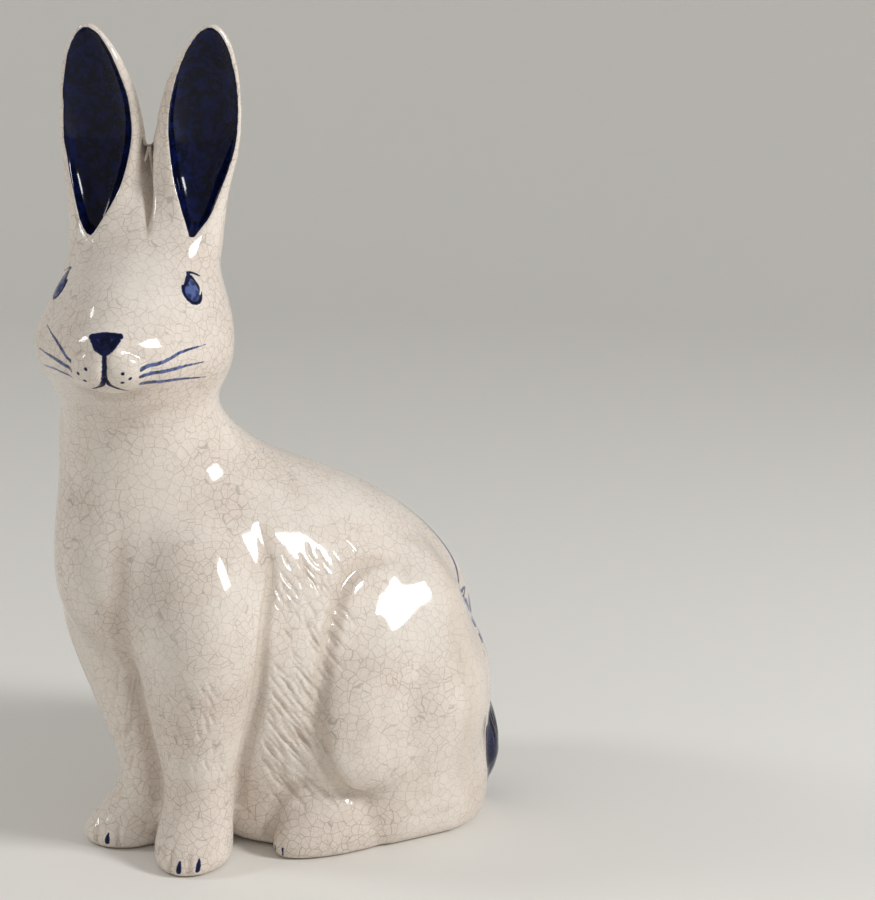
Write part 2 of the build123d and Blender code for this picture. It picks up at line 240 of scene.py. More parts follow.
def lofted(hand, rows, ahead_share):
    """Signed distance to a form that runs up an ear; hand is 1 on the left and -1 on the right"""
    ahead_way, left_way = facing(EAR_AZIMUTH)
    line = np.array(EAR_LINE)
    around = np.arange(RING) * 2 * math.pi / RING
    rings = []
    for height, out, left, front, half_width, half_depth in eased(rows, RINGS_A_ROW):
        share = height / EAR_HEIGHT
        ahead, sway, spread, thick = [np.interp(share, line[:, 0], line[:, i]) for i in (1, 2, 3, 4)]
        middle = (
            NECK
            + left_way * (sway + hand * (spread + out) + left)
            + ahead_way * (ahead + front + ahead_share * thick)
            + np.array([0, 0, EAR_ROOT + height])
        )
        rings.append(
            middle
            + np.outer(np.cos(around) * max(half_width, THINNEST), left_way)
            + np.outer(np.sin(around) * max(half_depth, THINNEST), ahead_way)
        )
    corners = np.concatenate(rings + [rings[0].mean(0)[None], rings[-1].mean(0)[None]])
    first, last = len(corners) - 2, len(corners) - 1
    faces = []
    for k in range(RING):
        n = (k + 1) % RING
        for level in range(len(rings) - 1):
            a, b = level * RING + k, level * RING + n
            faces += [(a, b, b + RING), (a, b + RING, a + RING)]
        top = (len(rings) - 1) * RING
        faces += [(first, n, k), (last, top + k, top + n)]
    return field_of(corners.astype(np.float32), np.array(faces, np.int32), REACH)


# The joined castings, closed inside and over their seams
DEEP_FIELDS = ("head_left_half", "head_right_half", "left_ear", "right_ear")
EAR_FILLET = 14.0
fields = {name: field_of(*node_arrays(name), REACH if name in DEEP_FIELDS else NEAR) for name in NODES}
scoops = np.minimum(lofted(1, LEFT_SCOOP, SCOOP_AHEAD_SHARE), lofted(-1, SCOOP, SCOOP_AHEAD_SHARE))
fillings = np.minimum(lofted(1, EAR_FILLING, 0.0), lofted(-1, EAR_FILLING, 0.0))
ears = np.minimum.reduce([fields["left_ear"], fields["right_ear"], fillings])
head = np.minimum(fields["head_left_half"], fields["head_right_half"])
rest = np.minimum.reduce([fields[name] for name in NODES if name not in DEEP_FIELDS])

plate_low, plate_high = BOXES[PLATE]
vent_x, vent_y = (plate_low + plate_high)[:2] / 2
half_plate = plate_high[2] / 2
VENT_RADIUS = 12.0
VENT_ROOM = 2  # by which its stopper and the hole above it are wider
round_vent = np.hypot(X - vent_x, Y - vent_y) - VENT_RADIUS - VENT_ROOM
stopper = np.maximum(round_vent, np.abs(Z - half_plate) - half_plate)

union = np.minimum(np.minimum(joined(head, ears, EAR_FILLET), rest), stopper)
SEAL = 2.0  # closes gaps up to twice this wide
JUST = 0.05  # a distance barely outside or inside
outside = swept(union > SEAL)
rim = grown(outside)
union = np.where(outside, np.maximum(union, JUST), np.where(rim, np.minimum(union, -JUST), -VOXEL))
BACK_TO_SIZE = 1.75  # the sealed skin lies this far out
whole = field_of(*surface_of(union), REACH) + BACK_TO_SIZE

# How far slip and glaze soften the corners, by height: feet and ears little, shoulders most
FINE, MIDDLE, BROAD, WIDE = 1.6, 3.0, 4.5, 7.0
SOFTNESS = [
    (-20, FINE), (14, FINE), (45, MIDDLE), (110, MIDDLE), (150, WIDE), (268, WIDE), (283, BROAD),
    (310, MIDDLE), (345, MIDDLE), (365, BROAD), (385, BROAD), (405, FINE), (520, FINE),
]
softness_heights, softness = zip(*SOFTNESS)
skin = np.zeros(SHAPE, np.float32)
for sigma in (FINE, MIDDLE, BROAD, WIDE):
    share = np.interp(Z.ravel(), softness_heights, [float(s == sigma) for s in softness])
    skin += share[None, None, :].astype(np.float32) * softened(whole, sigma)
SCOOP_SOFTNESS = 1.0
RIM_ROUND = 2.2
skin = -joined(-skin, softened(scoops, SCOOP_SOFTNESS), RIM_ROUND)

# The seat of the base plate, and the vent through it into the hollow body
SEAT_GAP = 0.3
VENT_DEPTH = 60.0
seat = np.maximum(SEAT_GAP - fields[PLATE], -NEAR * VOXEL)
vent = np.maximum(round_vent, Z - VENT_DEPTH)
skin = np.maximum(np.maximum(skin, seat), -vent)
slope = np.stack(np.gradient(skin, VOXEL), -1).astype(np.float32)


# Places on the skin
NOWHERE = (0.0, 0.0, 0.0)
FAR_OUT = 260  # beyond every part of the rabbit
POINTS_A_ROW = 5
STRIDES = 80
STRIDE_SHARE = 0.8  # of the distance to the skin
MET = 0.3  # distance at which a line has met the skin


def on_skin(azimuth, rows, origin=NOWHERE):
    """Where level lines meet the skin; a row holds a place across, a height and a size"""
    towards, across = facing(azimuth)
    rows = eased(rows, POINTS_A_ROW) if len(rows) > 1 else np.array(rows, float)
    upwards = np.array([0, 0, 1])
    points = np.array(origin) + rows[:, :1] * across + rows[:, 1:2] * upwards + towards * FAR_OUT
    for _ in range(STRIDES):
        gap = sample(skin, points)
        points = points - (np.maximum(gap, 0) * STRIDE_SHARE)[:, None] * towards
    met = gap < MET
    return points[met], rows[met, 2]


def measured(points, line, sizes):
    """How far points lie from a line, and the line's size where it is nearest"""
    if len(line) == 1:
        return np.linalg.norm(points - line[0], axis=1), np.full(len(points), sizes[0])
    best = np.full(len(points), 1e3)
    size = np.zeros(len(points))
    for a, b, size_a, size_b in zip(line[:-1], line[1:], sizes[:-1], sizes[1:]):
        way = b - a
        t = np.clip((points - a) @ way / max(way @ way, 1e-6), 0, 1)
        gap = np.linalg.norm(points - a - t[:, None] * way, axis=1)
        nearer = gap < best
        best = np.where(nearer, gap, best)
        size = np.where(nearer, size_a + t * (size_b - size_a), size)
    return best, size


def close_to(points, line, reach):
    """Which of the points, sorted by height, lie near a line"""
    low, high = line.min(0) - reach, line.max(0) + reach
    first, last = np.searchsorted(points[:, 2], (low[2], high[2]))
    part = points[first:last]
    return first + np.flatnonzero(np.all((part > low) & (part < high), axis=1))


RELIEF = []  # lines on the skin with a height along them, and how wide they spread
PAINT = {"cobalt": [], "navy": [], "slate": [], "white_slip_and_painted_highlight": []}  # brush strokes with their half widths
SPREAD = 2.6  # widths from a line at which its relief has run out
NO_PAINT = 6.0  # distance that stands for no paint near
INTO_SCOOP, SCOOP_EDGE = 0.6, 3  # how far navy goes past a scoop, and how sharply it ends
ROUND_TAIL, TAIL_FROM = 4.2, 95.0  # how far navy goes past the tail, and where it starts


def press(azimuth, width, rows, origin=NOWHERE):
    """Models a groove or, with heights over zero, a ridge or a pad"""
    line, heights = on_skin(azimuth, rows, origin)
    if len(line):
        RELIEF.append((line, heights, width))


def brush(colour, azimuth, rows, origin=NOWHERE):
    """Lays a stroke of paint; the sizes in the rows are half widths"""
    line, widths = on_skin(azimuth, rows, origin)
    if len(line):
        PAINT[colour].append((line, widths))


def relief(points):
    """Height that is modelled on the skin"""
    order = np.argsort(points[:, 2])
    ranked = points[order]
    out = np.zeros(len(points))
    for line, heights, width in RELIEF:
        near = close_to(ranked, line, SPREAD * width)
        if len(near):
            gap, height = measured(ranked[near], line, heights)
            out[order[near]] += height * np.exp(-((gap / width) ** 2))
    return out


def painted(points, colour):
    """Signed distance from the paint of one colour, below zero inside it"""
    order = np.argsort(points[:, 2])
    ranked = points[order]
    out = np.full(len(points), NO_PAINT)
    for line, widths in PAINT[colour]:
        near = close_to(ranked, line, widths.max() + NO_PAINT)
        if len(near):
            gap, width = measured(ranked[near], line, widths)
            out[order[near]] = np.minimum(out[order[near]], gap - width)
    if colour == "navy":
        tail = np.maximum(sample(fields["tail"], points) - ROUND_TAIL, TAIL_FROM - points[:, 1])
        scoop = (sample(scoops, points) - INTO_SCOOP) * SCOOP_EDGE
        out = np.minimum.reduce([out, scoop, tail])
    return out


# The face, seen from its own azimuth. A row holds a place across, a height and a relief or half width
FACE = 54.0
FACE_AT = (-1.0, -111.0, 0.0)


def face_press(width, rows):
    press(FACE, width, rows, FACE_AT)


def face_brush(colour, rows):
    brush(colour, FACE, rows, FACE_AT)


# Muzzle: bridge of the nose, lip pads, cheeks, the folds beside the nose, the chin and the mouth
face_press(9, [(0.5, 316, 1.4)])
for side in (-1, 1):
    face_press(9.5, [(0.5 + side * 10, 299, 2.9)])
    face_press(13, [(1.0 + side * 27, 301, 1.0 + side * 0.4)])
    fold = [(6, 312, 0.3), (13, 311, -1.5), (20, 306, -1.1), (23, 297, -0.5)]
    face_press(3.0, [(0.5 + side * across, up, depth) for across, up, depth in fold])
face_press(5, [(-19, 290, -0.6), (-10, 284, -2.0), (0, 282.5, -2.2), (9, 283.5, -2.0), (19, 289, -0.6)])
face_press(2.3, [(0.6, 310, -0.8), (0.3, 303, -1.5), (-0.5, 295.5, -1.6)])
face_press(2.0, [(-0.5, 295.5, -0.9), (-4, 291.5, -1.2), (-9.3, 288.3, -0.6)])
face_press(2.0, [(-0.5, 295.5, -0.9), (3, 291, -1.2), (8.2, 287.3, -0.6)])
NOSE_AND_MOUTH = [
    [(-6.8, 318.8, 1.9), (0.6, 319.4, 2.4), (7.8, 319.2, 1.9)],
    [(-5.6, 317.6, 2.0), (-2.4, 313.6, 2.4), (0.6, 310.8, 1.5)],
    [(6.6, 317.6, 2.0), (3.4, 313.6, 2.4), (0.6, 310.8, 1.5)],
    [(0.6, 317.0, 3.6), (0.6, 313.0, 2.6)],
    [(0.6, 311, 1.2), (0.4, 303, 1.35), (-0.5, 296.5, 1.7)],
    [(-0.5, 296.0, 1.5), (-4, 291.8, 1.4), (-10.0, 288.6, 0.4)],
    [(-0.5, 296.0, 1.5), (3, 291.3, 1.4), (9.4, 287.2, 0.4)],
]
for stroke in NOSE_AND_MOUTH:
    face_brush("navy", stroke)
WHISKER_ROOTS = [(-8.9, 303.2), (-13.4, 300.4), (-10.3, 297.1), (9.1, 301.2), (12.3, 298.7), (8.5, 296.4)]
ROOT_RADIUS = 0.95
for across, up in WHISKER_ROOTS:
    face_brush("navy", [(across, up, ROOT_RADIUS)])
WHISKERS = [
    [(17.9, 302.2, 1.2), (29.0, 304.8, 1.0), (36.3, 307.8, 0.8), (46.5, 309.0, 0.25)],
    [(17.2, 298.4, 1.1), (32.0, 299.4, 1.1), (45.6, 299.4, 0.25)],
    [(17.1, 293.4, 1.6), (31.5, 292.2, 1.1), (45.0, 289.4, 0.25)],
    [(-19.9, 305.0, 1.1), (-28.7, 311.6, 0.9), (-41.6, 318.0, 0.25)],
    [(-19.0, 300.4, 1.3), (-31.0, 303.6, 1.0), (-46.4, 304.6, 0.25)],
    [(-19.5, 295.8, 0.8), (-32.0, 297.2, 0.8), (-44.5, 295.4, 0.25)],
]
for whisker in WHISKERS:
    face_brush("slate", whisker)
EYE_HEIGHT, EYES_MIDDLE, EYE_OUT = 337, 0.4, 37.0


def eye(side):
    """A drop with a dark rim, a lid stroke, a blue middle and a painted white highlight"""

    def rows(places):
        middle = EYES_MIDDLE + side * EYE_OUT
        return [(middle + side * across, EYE_HEIGHT + up, size) for across, up, size in places]

    face_press(7.5, rows([(0, 0, 1.6)]))
    face_press(1.6, rows([(-3.4, 9.4, -0.5), (-0.8, 9.6, -0.8), (2.2, 7.4, -0.5)]))
    face_brush("navy", rows([(-3.2, 9.4, 0.5), (-1.8, 6.6, 3.0), (0.1, 1.6, 6.6), (0.4, -0.4, 7.8)]))
    face_brush("navy", rows([(-3.2, 9.4, 0.7), (-0.6, 8.8, 1.0), (2.6, 6.8, 0.5)]))
    face_brush("slate", rows([(-0.6, 4.6, 1.6), (0.2, 0.8, 4.6), (0.4, -0.8, 5.4)]))
    # The white stroke in the eye is a painted highlight
    face_brush("white_slip_and_painted_highlight", rows([(1.0, 5.6, 0.3), (3.1, 2.8, 0.7), (3.8, -0.6, 0.7), (3.6, -2.6, 0.2)]))


for side in (-1, 1):
    eye(side)

# The body, seen from the front left: creases between the ears, beside the forelegs and round the thigh
LEFT = 62.0
BETWEEN_EARS = [
    (-89.8, 422, -2.5), (-89.8, 412, -5.0), (-89.6, 392, -6.0), (-89.2, 378, -4.5), (-89.2, 366, -0.8),
]
BETWEEN_LEGS = [(-105, 204, -0.4), (-106, 177, -1.6), (-104, 127, -2.6), (-92, 71, -2.4), (-88, 34, -2.0)]
BEHIND_LEG = [
    (-27, 200, -0.5), (-21, 178, -1.8), (-24, 154, -2.4), (-29, 103, -2.6), (-37, 61, -2.4), (-40, 30, -1.6),
]
for rows, width in ((BETWEEN_EARS, 2.4), (BETWEEN_LEGS, 6), (BEHIND_LEG, 4)):
    press(LEFT, width, rows)
THIGH = [
    (51, 171, -0.4), (40, 173, -1.4), (30, 172, -2.4), (21, 165, -3.0), (15, 148, -3.2), (10, 126, -3.2),
    (5, 91, -3.0), (7, 72, -3.0), (10, 59, -3.0), (21, 40, -2.6), (32, 34, -1.8), (46, 31, -0.5),
]
HIND_FOOT = [(-24, 8, -1.6), (-23, 16, -2.0), (-18, 30, -2.0), (-11, 40, -1.6), (0, 46, -0.6)]
MIRROR_SHIFT = -4.9  # the body's middle lies to the right of the origin
for rows, width in ((THIGH, 5.0), (HIND_FOOT, 4.0)):
    press(LEFT, width, rows)
    press(-LEFT, width, [(MIRROR_SHIFT - across, up, depth) for across, up, depth in rows])
BETWEEN_TOES = (-69.0, -79.5, -112.5, -125.5)
for across in BETWEEN_TOES:
    press(LEFT, 1.8, [(across, 3, -1.1), (across + 0.5, 11, -1.0), (across + 1.5, 19, -0.2)])
FORE_CLAWS = ((-74, 4, 10.5), (-63, 5, 11.5), (-118.5, 5, 10.5))  # place across, bottom and top
for across, low, high in FORE_CLAWS:
    halfway = (low + high) / 2
    brush("navy", LEFT, [(across - 0.4, low, 1.4), (across, halfway, 1.5), (across + 0.5, high, 0.7)])
HIND_CLAWS = ((LEFT, -19.5), (LEFT, -15.0), (-20.0, -45.0), (-20.0, -50.0))
for azimuth, across in HIND_CLAWS:
    brush("navy", azimuth, [(across, 2.5, 0.5), (across, 7.5, 0.7)])


def fur(azimuth, low, high, edges, count, lean, length, depth):
    """Short grooves scored in the clay. The edges hold a height with the places across to its
    left and right; lean is the drift across for each millimetre down."""
    heights, lefts, rights = zip(*edges)
    for _ in range(count):
        up = chance.uniform(low, high)
        across = chance.uniform(np.interp(up, heights, lefts), np.interp(up, heights, rights))
        run = length * chance.uniform(0.6, 1.3)
        slant = lean * chance.uniform(0.75, 1.25)
        bend = chance.uniform(-0.12, 0.12) * run
        deep = -depth * chance.uniform(0.6, 1.2)
        width = chance.uniform(0.9, 1.3)
        start = (across, up, 0.0)
        halfway = (across + slant * run * 0.5 + bend, up - run * 0.5, deep)
        end = (across + slant * run, up - run, 0.0)
        press(azimuth, width, [start, halfway, end])


FLANK = [(45, -34, 8), (90, -26, 4), (150, -20, 13), (195, -22, 24)]
MIRRORED_FLANK = [(up, MIRROR_SHIFT - right, MIRROR_SHIFT - left) for up, left, right in FLANK]
NEAR_FORELEG = [(60, -84, -50), (125, -84, -50)]
FAR_FORELEG = [(60, -112, -98), (130, -112, -98)]
RUMP = [(30, -70, 60), (150, -72, 70)]
BACK = 180.0
fur(LEFT, 60, 192, FLANK, 110, 0.62, 15, 0.75)
fur(LEFT, 45, 100, FLANK, 26, 0.75, 26, 0.8)
fur(-LEFT, 60, 192, MIRRORED_FLANK, 90, -0.62, 15, 0.75)
fur(LEFT, 70, 125, NEAR_FORELEG, 34, 0.25, 16, 0.5)
fur(LEFT, 60, 130, FAR_FORELEG, 24, -0.2, 18, 0.6)
fur(BACK, 30, 150, RUMP, 90, 0.0, 24, 0.55)

# The rump is drawn in beside the tail
BESIDE_TAIL = 152.0
press(BESIDE_TAIL, 30, [(-5, 150, -1.5), (-5, 125, -8.0), (-6, 95, -10.0), (-6, 60, -8.5), (0, 28, -3.0)])


# A sprig with two daisies, brushed on the back
MIDRIB = 0.45


def leaf(colour, across, up, run, rise, half):
    """A leaf that starts at a twig and runs across and up, with a white midrib"""
    blade = [(0, 0, 0.8), (0.2, 0.24, half * 0.7), (0.5, 0.56, half), (0.8, 0.82, half * 0.6), (1, 1, 0.3)]
    brush(colour, BACK, [(across + x * run, up + z * rise, size) for x, z, size in blade])
    brush("white_slip_and_painted_highlight", BACK, [(across + x * run, up + z * rise, MIDRIB) for x, z, _ in blade[1:4]])


def daisy(colour, across, up, radius, petals):
    """Petals round a ring of dots; a petal's rows are shares of the radius"""
    petal = [(0.32, 0.08), (0.6, 0.18), (0.84, 0.17), (1.0, 0.05)]
    for k in range(petals):
        a = (k + 0.3) * 2 * math.pi / petals
        length = radius * chance.uniform(0.88, 1.06)
        x, z = length * math.cos(a), length * math.sin(a)
        brush(colour, BACK, [(across + out * x, up + out * z, radius * half) for out, half in petal])
    dots = 6
    for k in range(dots):
        a = k * 2 * math.pi / dots
        x, z = radius * 0.12 * math.cos(a), radius * 0.12 * math.sin(a)
        brush("navy", BACK, [(across + x, up + z, radius * 0.045)])


brush("navy", BACK, [(50, 18, 2.0), (47, 50, 3.0), (39, 90, 2.8), (29, 124, 2.3), (26, 150, 1.8)])
brush("navy", BACK, [(39, 90, 2.4), (14, 97, 2.2), (-8, 103, 1.8), (-24, 114, 1.2)])
OUTER_TWIG = [
    (-2, 190, 0.4), (-10, 173, 1.6), (-19, 157, 2.0), (-31, 147, 1.5), (-46, 137, 1.1), (-57, 120, 0.4),
]
brush("slate", BACK, OUTER_TWIG)
LEAVES = [
    ("navy", 47, 44, -26, -16, 6.0), ("cobalt", 46, 58, 17, 30, 5.8), ("navy", 38, 92, 24, 24, 6.4),
    ("cobalt", 30, 92, -24, -20, 6.2), ("navy", 30, 120, -30, 6, 5.6), ("cobalt", 28, 128, 28, 14, 5.2),
    ("cobalt", 4, 100, -14, -20, 4.6), ("slate", -4, 128, -6, 28, 4.2), ("slate", -24, 138, -22, 0, 3.2),
]
for row in LEAVES:
    leaf(*row)
for row in (("navy", 25, 174, 27, 9), ("cobalt", -28, 116, 20, 8)):
    daisy(*row)


# One fine mesh of the skin, finest where paint ends
def split_where(points, triangles, wanted):
    """Cuts the wanted triangles in four, and their neighbours so that no edge is left open"""
    ends = np.sort(np.stack([triangles, np.roll(triangles, -1, 1)], -1), -1).reshape(-1, 2)
    keys = ends[:, 0].astype(np.int64) * len(points) + ends[:, 1]
    unique, first, edge = np.unique(keys, return_index=True, return_inverse=True)
    edge = edge.reshape(-1, 3)
    cut = np.zeros(len(unique), bool)
    cut[edge[wanted].ravel()] = True
    number = np.cumsum(cut) - 1 + len(points)
    middles = points[ends[first[cut]]].mean(1)
    codes = (cut[edge] * np.array([1, 2, 4])).sum(1)
    # Corners 0 to 2, and 3 to 5 in the middles of the edges 01, 12 and 20
    ways = {
        0: [(0, 1, 2)],
        1: [(0, 3, 2), (3, 1, 2)],
        2: [(0, 1, 4), (0, 4, 2)],
        4: [(0, 1, 5), (5, 1, 2)],
        3: [(3, 1, 4), (0, 3, 4), (0, 4, 2)],
        6: [(4, 2, 5), (0, 1, 4), (0, 4, 5)],
        5: [(0, 3, 5), (3, 1, 2), (3, 2, 5)],
        7: [(0, 3, 5), (3, 1, 4), (4, 2, 5), (3, 4, 5)],
    }
    corners = np.concatenate([triangles, number[edge]], 1)
    out = [corners[codes == code][:, list(way)] for code, parts in ways.items() for way in parts]
    return np.concatenate([points, middles]), np.concatenate(out)


def settled(points):
    """Points moved onto the skin"""
    for _ in range(3):
        g = sample(slope, points)
        points = points - (sample(skin, points) / np.maximum((g * g).sum(1), 0.1))[:, None] * g
    return points


def longest_edge(points, triangles):
    corners = points[triangles]
    return np.linalg.norm(corners - np.roll(corners, -1, 1), axis=2).max(1)


FIRST_EDGE, SECOND_EDGE = 0.8, 0.45  # lengths down to which paint's outline is cut finer
SCORED_EDGE = 1.6 * FIRST_EDGE
SCORED = 0.15  # relief that needs a finer mesh

points, quads = surface_of(skin)
triangles = np.concatenate([quads[:, [0, 1, 2]], quads[:, [0, 2, 3]]])
points = settled(points)
LAYERS = list(PAINT)
paint = {layer: painted(points, layer) for layer in LAYERS}
for finest in (FIRST_EDGE, SECOND_EDGE):
    length = longest_edge(points, triangles)
    nearest = np.min([np.abs(paint[layer][triangles]).min(1) for layer in LAYERS], 0)
    wanted = (nearest < length) & (length > finest)
    if finest == FIRST_EDGE:
        scored = np.abs(relief(points))
        wanted |= (scored[triangles].max(1) > SCORED) & (length > SCORED_EDGE)
    before = len(points)
    points, triangles = split_where(points, triangles, wanted)
    added = settled(points[before:])
    points = np.concatenate([points[:before], added])
    for layer in LAYERS:
        paint[layer] = np.concatenate([paint[layer], painted(added, layer)])

# The relief moves the points and turns the normals
normals = sample(slope, points)
normals /= np.linalg.norm(normals, axis=1)[:, None]
height = relief(points)
paint["scored"] = height
STEP = 0.3
STEEP = 0.9
UPWARDS, SIDEWAYS = [[0.0, 0.0, 1.0]], [[1.0, 0.0, 0.0]]
side_way = np.cross(normals, np.where(np.abs(normals[:, 2:]) < STEEP, UPWARDS, SIDEWAYS))
side_way /= np.linalg.norm(side_way, axis=1)[:, None]
turned = normals.copy()
for way in (side_way, np.cross(normals, side_way)):
    turned -= ((relief(points + STEP * way) - height) / STEP)[:, None] * way
points = points + height[:, None] * normals
normals = turned / np.linalg.norm(turned, axis=1)[:, None]

# The skin goes back to the castings under it
middles = points[triangles].mean(1)
owner = np.argmin([sample(fields[name], middles) for name in CASTINGS], 0)


def add_mesh(name, corners, faces, loop_normals, layers):
    """An object from arrays, with its own normals and a value for each corner in every layer"""
    mesh = bpy.data.meshes.new(name)
    mesh.vertices.add(len(corners))
    mesh.vertices.foreach_set("co", (corners * MM).astype(np.float32).ravel())
    mesh.loops.add(faces.size)
    mesh.loops.foreach_set("vertex_index", faces.astype(np.int32).ravel())
    mesh.polygons.add(len(faces))
    mesh.polygons.foreach_set("loop_start", np.arange(0, faces.size, 3, dtype=np.int32))
    mesh.polygons.foreach_set("loop_total", np.full(len(faces), 3, np.int32))
    mesh.update(calc_edges=True)
    mesh.shade_smooth()
    mesh.normals_split_custom_set(loop_normals.astype(np.float32))
    for layer, values in layers.items():
        mesh.attributes.new(layer, "FLOAT", "POINT").data.foreach_set("value", values.astype(np.float32))
    piece = bpy.data.objects.new(name, mesh)
    scene.collection.objects.link(piece)
    return piece


def rims_of(faces, count):
    """The open edges of a mesh with count corners, in groups that hang together"""
    edges = np.stack([faces, np.roll(faces, -1, 1)], -1).reshape(-1, 2)
    there, mates = edges @ [count, 1], edges @ [1, count]
    open_edges = edges[~np.isin(mates, there)].tolist()
    group = {}

    def root(corner):
        while group.setdefault(corner, corner) != corner:
            corner = group[corner]
        return corner

    for a, b in open_edges:
        group[root(a)] = root(b)
    rims = {}
    for a, b in sorted(open_edges):
        rims.setdefault(root(a), []).append((a, b))
    return list(rims.values())


CAP_DEPTH_SHARE = 0.7  # of a rim's reach, so that the cap lies under the skin


def glazed_casting(index, name):
    """The skin over one casting, closed where it is luted to the next"""
    used, faces = np.unique(triangles[owner == index], return_inverse=True)
    faces = faces.reshape(-1, 3)
    corners, caps = points[used], []
    for rim in rims_of(faces, len(used)):
        ends = [a for a, _ in rim]
        middle = corners[ends].mean(0)
        reach = np.linalg.norm(corners[ends] - middle, axis=1).max()
        middle = middle - CAP_DEPTH_SHARE * reach * normals[used][ends].mean(0)
        caps += [(b, a, len(corners)) for a, b in rim]
        corners = np.concatenate([corners, middle[None]])
    caps = np.array(caps, int).reshape(-1, 3)
    a, b, c = corners[caps].transpose(1, 0, 2)
    flat = np.cross(b - a, c - a)
    flat /= np.maximum(np.linalg.norm(flat, axis=1), 1e-9)[:, None]
    loop_normals = np.concatenate([normals[used][faces.ravel()], np.repeat(flat, 3, 0)])
    on_caps = np.full(len(corners) - len(used), NO_PAINT)
    layers = {layer: np.concatenate([values[used], on_caps]) for layer, values in paint.items()}
    piece = add_mesh(name + "_glazed", corners, np.concatenate([faces, caps]), loop_normals, layers)
    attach(piece, "root")
    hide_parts(name)
    return piece


pieces = [glazed_casting(i, name) for i, name in enumerate(CASTINGS)]


# Materials
def srgb(code):
    """Linear colour of an sRGB hex value"""
    values = [int(code[i : i + 2], 16) / 255 for i in (0, 2, 4)]
    return [v / 12.92 if v <= 0.04045 else ((v + 0.055) / 1.055) ** 2.4 for v in values] + [1.0]


# Kinds of node, each with the output that is used and its settings
MIX = ("ShaderNodeMix", 2, {"data_type": "RGBA"})
FADE = ("ShaderNodeMapRange", 0, {"interpolation_type": "SMOOTHSTEP"})
TIMES = ("ShaderNodeMath", 0, {"operation": "MULTIPLY"})
PLUS = ("ShaderNodeMath", 0, {"operation": "ADD"})
LARGER = ("ShaderNodeMath", 0, {"operation": "MAXIMUM"})
SHIFT = ("ShaderNodeVectorMath", 0, {"operation": "MULTIPLY_ADD"})
NOISE = ("ShaderNodeTexNoise", 0, {})
DRIFT = ("ShaderNodeTexNoise", 1, {})
CELLS = ("ShaderNodeTexVoronoi", 0, {"feature": "DISTANCE_TO_EDGE"})
PLACE = ("ShaderNodeTexCoord", 3, {})
HEIGHT = ("ShaderNodeSeparateXYZ", 2, {})
BUMP = ("ShaderNodeBump", 0, {})
BETWEEN = (None,) * 5  # the inputs of a colour mix between its share and its two colours


def add(tree, kind, *values, **named):
    """Adds a node and returns its output; values and sockets go to its inputs in order or by name"""
    name, output, settings = kind
    node = tree.nodes.new(name)
    for key, value in settings.items():
        setattr(node, key, value)
    for key, value in [*enumerate(values), *named.items()]:
        if isinstance(value, bpy.types.NodeSocket):
            tree.links.new(value, node.inputs[key])
        elif value is not None:
            node.inputs[key].default_value = value
    return node.outputs[output]


def plain_material(name):
    material = bpy.data.materials.new(name)
    material.use_nodes = True
    tree = material.node_tree
    return material, tree, tree.nodes["Principled BSDF"]


def per_metre(millimetres):
    """Pattern scale for a feature of this size"""
    return 1 / (millimetres * MM)


def crazed(tree, place, cloud):
    """Stained cracks, wide apart and between them close together, which fade in and out"""
    drift = add(tree, DRIFT, place, None, per_metre(CRACK_DRIFT), 2.0)
    warped = add(tree, SHIFT, drift, (CRACK_WARP * MM,) * 3, place)
    uneven = add(tree, FADE, cloud, 0.8, 0.2, 1.0, 0.3)
    crack = 0.0
    for cell, half_line, strength in CRACKS:
        gap = add(tree, CELLS, Vector=warped, Scale=per_metre(cell))
        line = add(tree, FADE, gap, 0.4 * half_line / cell, 1.8 * half_line / cell, strength, 0.0)
        crack = add(tree, LARGER, add(tree, TIMES, line, uneven), crack)
    return crack


def brushed(tree, place, colour):
    """The four colours over the glaze's own, and where navy is"""
    streak = add(tree, NOISE, place, None, per_metre(STREAK), 3.0, Distortion=0.8)
    thin = add(tree, FADE, streak, 0.42, 0.62)
    tremble = add(tree, NOISE, place, None, per_metre(TREMBLE), 1.0)
    tremor = add(tree, FADE, tremble, 0.2, 0.8, -0.2, 0.2)
    covers = {}
    for layer, (full, sparse) in TINTS.items():
        gap = add(tree, ("ShaderNodeAttribute", 2, {"attribute_name": layer}))
        gap = add(tree, PLUS, gap, tremor)
        tint = add(tree, MIX, thin, *BETWEEN, srgb(full), srgb(sparse))
        if layer == "navy":
            edge = add(tree, FADE, gap, -1.1, -0.1, 0.0, 0.7)
            tint = add(tree, MIX, edge, *BETWEEN, tint, srgb("1E2F66"))
        covers[layer] = add(tree, FADE, gap, -EDGE_BLEED, EDGE_BLEED, 1.0, 0.0)
        colour = add(tree, MIX, covers[layer], *BETWEEN, colour, tint)
    return colour, covers["navy"]


# Sizes in mm of what shows in the glaze and of what the brush leaves
CRACKS = ((5.7, 0.14, 0.58), (4.1, 0.09, 0.34))  # cell, half width of the line, and strength
CRACK_DRIFT, CRACK_WARP = 16, 5
CLOUD, MOTTLE, RIPPLE = 45, 14, 9
STREAK, TREMBLE = 5, 2.2
EDGE_BLEED = 0.25
TINTS = {  # where the brush left much colour, and little
    "cobalt": ("172A62", "3F5792"),
    "navy": ("050A20", "0B1440"),
    "slate": ("28345C", "56659A"),
    # The white layer holds the slip lines and also the eyes' painted highlights
    "white_slip_and_painted_highlight": ("E8E1D8", "E8E1D8"),
}


